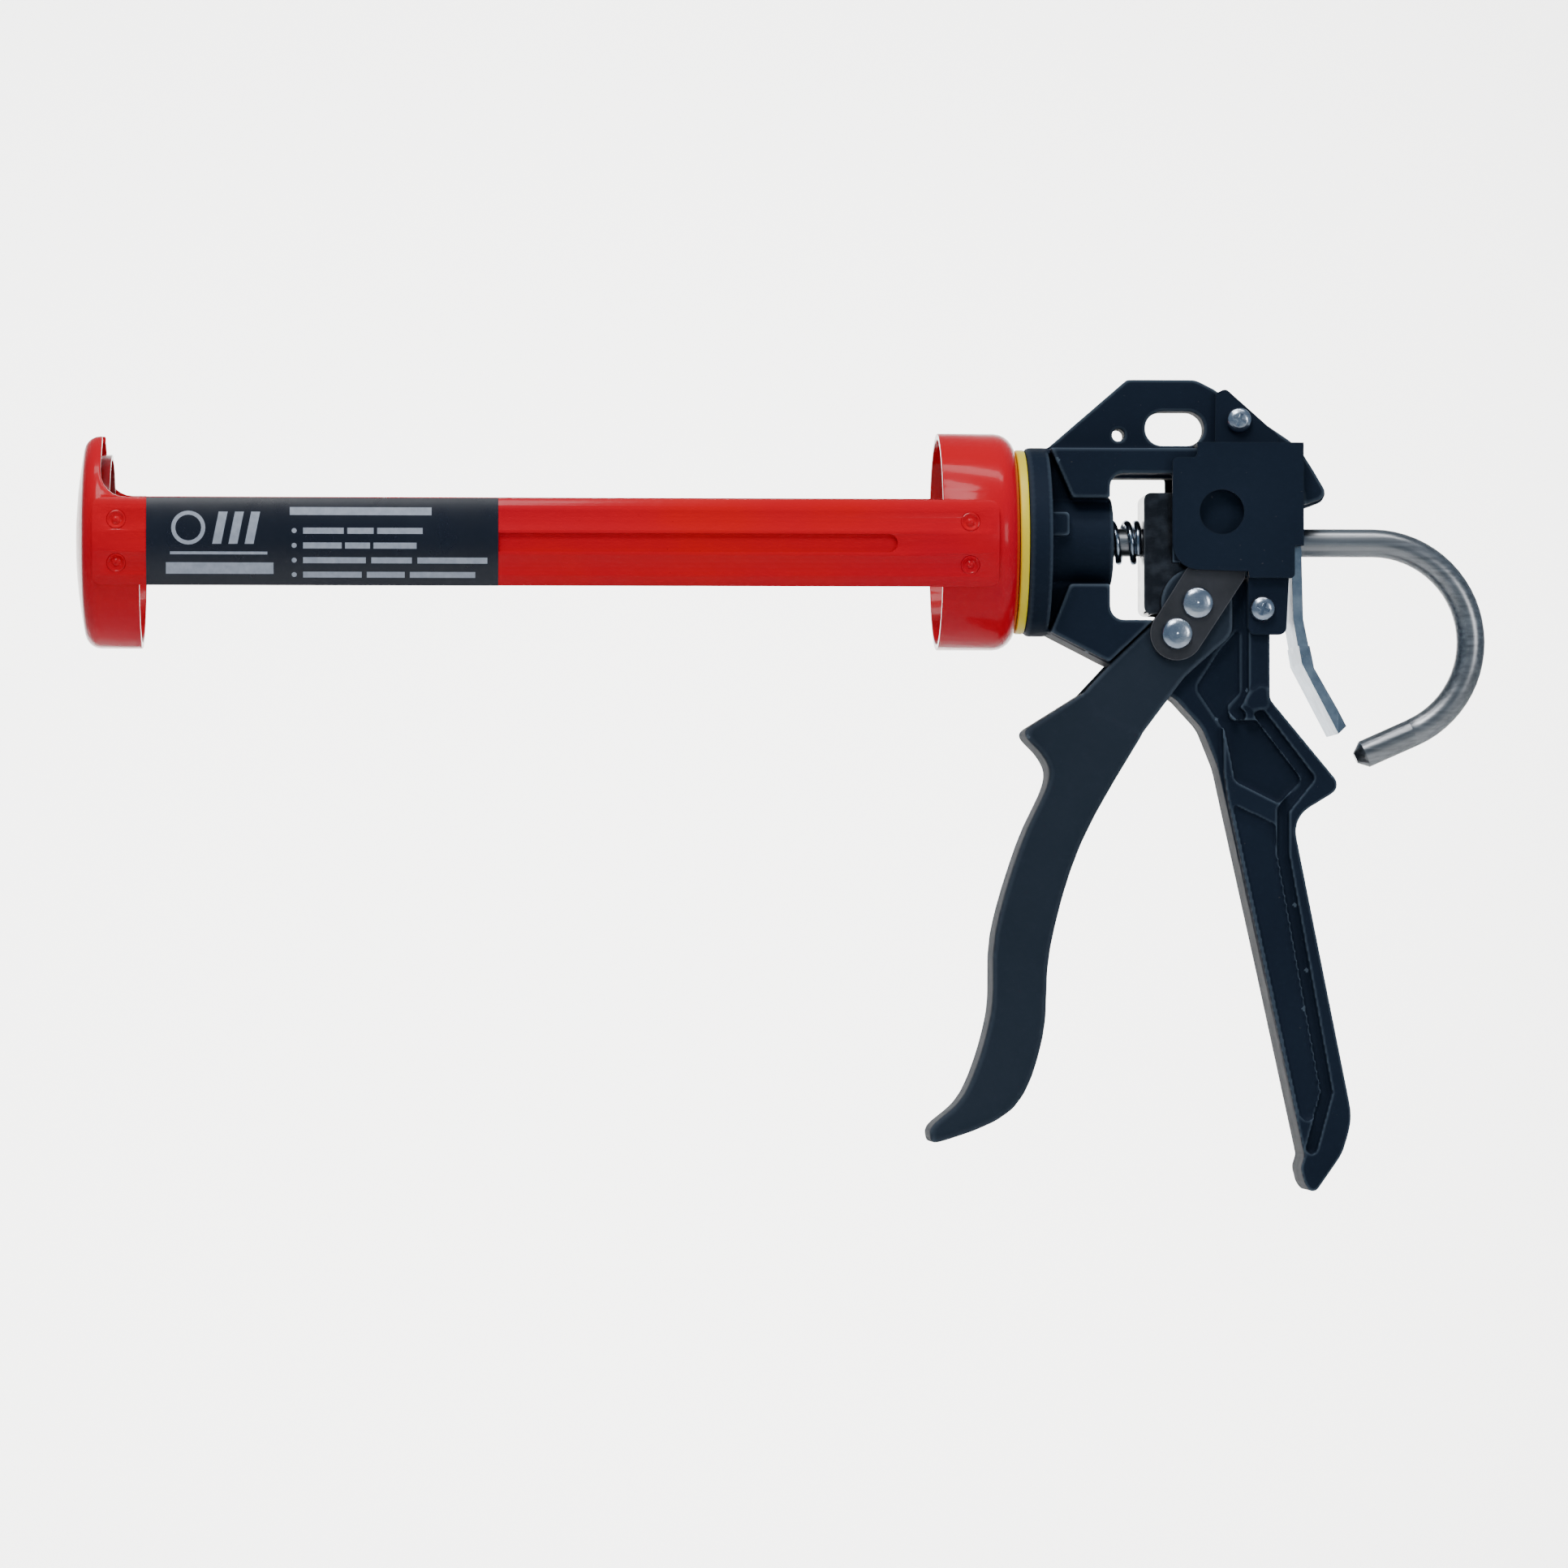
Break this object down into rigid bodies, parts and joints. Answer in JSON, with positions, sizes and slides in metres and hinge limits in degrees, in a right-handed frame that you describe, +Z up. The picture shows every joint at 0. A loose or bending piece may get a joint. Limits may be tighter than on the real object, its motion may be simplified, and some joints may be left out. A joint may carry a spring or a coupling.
{
  "type": "caulking gun",
  "caption": "Hand caulking gun with a revolving strap barrel, smooth push rod with hook, trigger, release lever and spout cutter.",
  "frame": {"origin": "on the push rod's axis, just behind the rear cup's cartridge seat", "axes": "+X along the rod towards the hook, +Z up, the cover plate side is -Y"},
  "size_m": [0.3545, 0.0573, 0.2041],
  "materials": {
    "red_paint": "gloss",
    "label_film": "gloss",
    "yellow_nylon": "satin",
    "zinc_plate": "satin",
    "rod_steel": "satin",
    "powder_coat": "satin",
    "grey_plate": "satin",
    "black_oxide": "gloss",
    "spring_steel": "gloss",
    "piston_paint": "gloss"
  },
  "bodies": {
    "frame": {"handle_casting": "powder_coat", "swivel_washer": "yellow_nylon", "barrel_nut": "zinc_plate", "nut_washer": "zinc_plate", "return_spring": "spring_steel", "cover_plate": "powder_coat", "cover_screws": "zinc_plate", "catch_spring": "spring_steel"},
    "barrel": {"front_cap": "red_paint", "rear_cap": "red_paint", "side_strap_near": "red_paint", "side_strap_far": "red_paint", "label": "label_film"},
    "piston": {"piston_plate": "piston_paint", "piston_collar": "zinc_plate"},
    "rod": {"push_rod": "rod_steel", "piston_nut": "zinc_plate"},
    "trigger": {"trigger_casting": "powder_coat", "drive_cam": "zinc_plate", "cutter_blade": "grey_plate", "pivot_rivet": "zinc_plate", "link_rivet": "zinc_plate"},
    "drive": {"drive_carrier": "black_oxide", "drive_plates": "spring_steel"},
    "lever": {"release_lever": "zinc_plate"}
  },
  "joints": [
    {"name": "barrel_spin", "type": "hinge", "parent": "frame", "child": "barrel", "pos_m": [0, 0, 0], "axis": [1, 0, 0], "continuous": true},
    {"name": "rod_slide", "type": "slide", "parent": "frame", "child": "piston", "axis": [1, 0, 0], "range_m": [0, 0.216]},
    {"name": "rod_spin", "type": "hinge", "parent": "piston", "child": "rod", "pos_m": [0, 0, 0], "axis": [1, 0, 0], "continuous": true},
    {"name": "trigger_pull", "type": "hinge", "parent": "frame", "child": "trigger", "pos_m": [0.0493, 0, -0.0158], "axis": [0, -1, 0], "range_deg": [0, 23], "stiffness_Nm_per_rad": 1.2, "springref_deg": -17.19, "deforming": ["return_spring"]},
    {"name": "drive_slide", "type": "slide", "parent": "frame", "child": "drive", "axis": [-1, 0, 0], "range_m": [0, 0.0026], "deforming": ["return_spring"]},
    {"name": "lever_press", "type": "hinge", "parent": "frame", "child": "lever", "pos_m": [0.0744, 0, 0.01], "axis": [0, 1, 0], "range_deg": [0, 5], "stiffness_Nm_per_rad": 0.6, "springref_deg": -11.46, "deforming": ["catch_spring"]}
  ],
  "couplings": [
    {"joint": "drive_slide", "follows": "trigger_pull", "m_per_rad": 0.0062}
  ]
}
